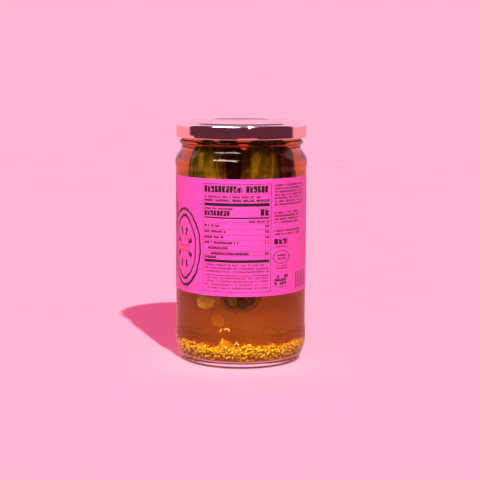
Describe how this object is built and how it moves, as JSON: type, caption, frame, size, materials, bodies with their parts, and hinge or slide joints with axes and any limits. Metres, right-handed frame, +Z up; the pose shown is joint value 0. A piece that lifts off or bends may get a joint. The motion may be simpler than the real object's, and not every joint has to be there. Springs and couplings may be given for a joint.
{
  "type": "jar of pickles",
  "caption": "Closed clear glass jar of whole pickles in orange-brown brine, with a steel twist-off lid and a wrapped pink paper label.",
  "frame": {"origin": "middle of the jar's foot, on the surface that it stands on", "axes": "+Z up along the jar's axis to the lid, -Y towards the front, where the label's panel faces"},
  "size_m": [0.0864, 0.0864, 0.1565],
  "materials": {
    "clear_glass": "clear moulded soda-lime glass, polished",
    "lid_steel": "bright silver lacquered tinplate, mirror-like with faint circular brushing",
    "gasket_compound": "off-white sealing compound, matte",
    "label_paper": "hot pink printed paper, half matte, with plain black and red print",
    "brine": "orange-brown spiced brine, slightly cloudy",
    "pickle_skin": "wet olive-green cucumber skin with pale streaks and small bumps",
    "garlic": "wet peeled garlic clove, cream",
    "mustard_seed": "wet yellow mustard seed",
    "dill": "olive dill bits and spice flakes"
  },
  "bodies": {
    "root": {"jar": "clear_glass", "lid": "lid_steel", "gasket": "gasket_compound", "label": "label_paper", "brine": "brine"}
  },
  "joints": []
}
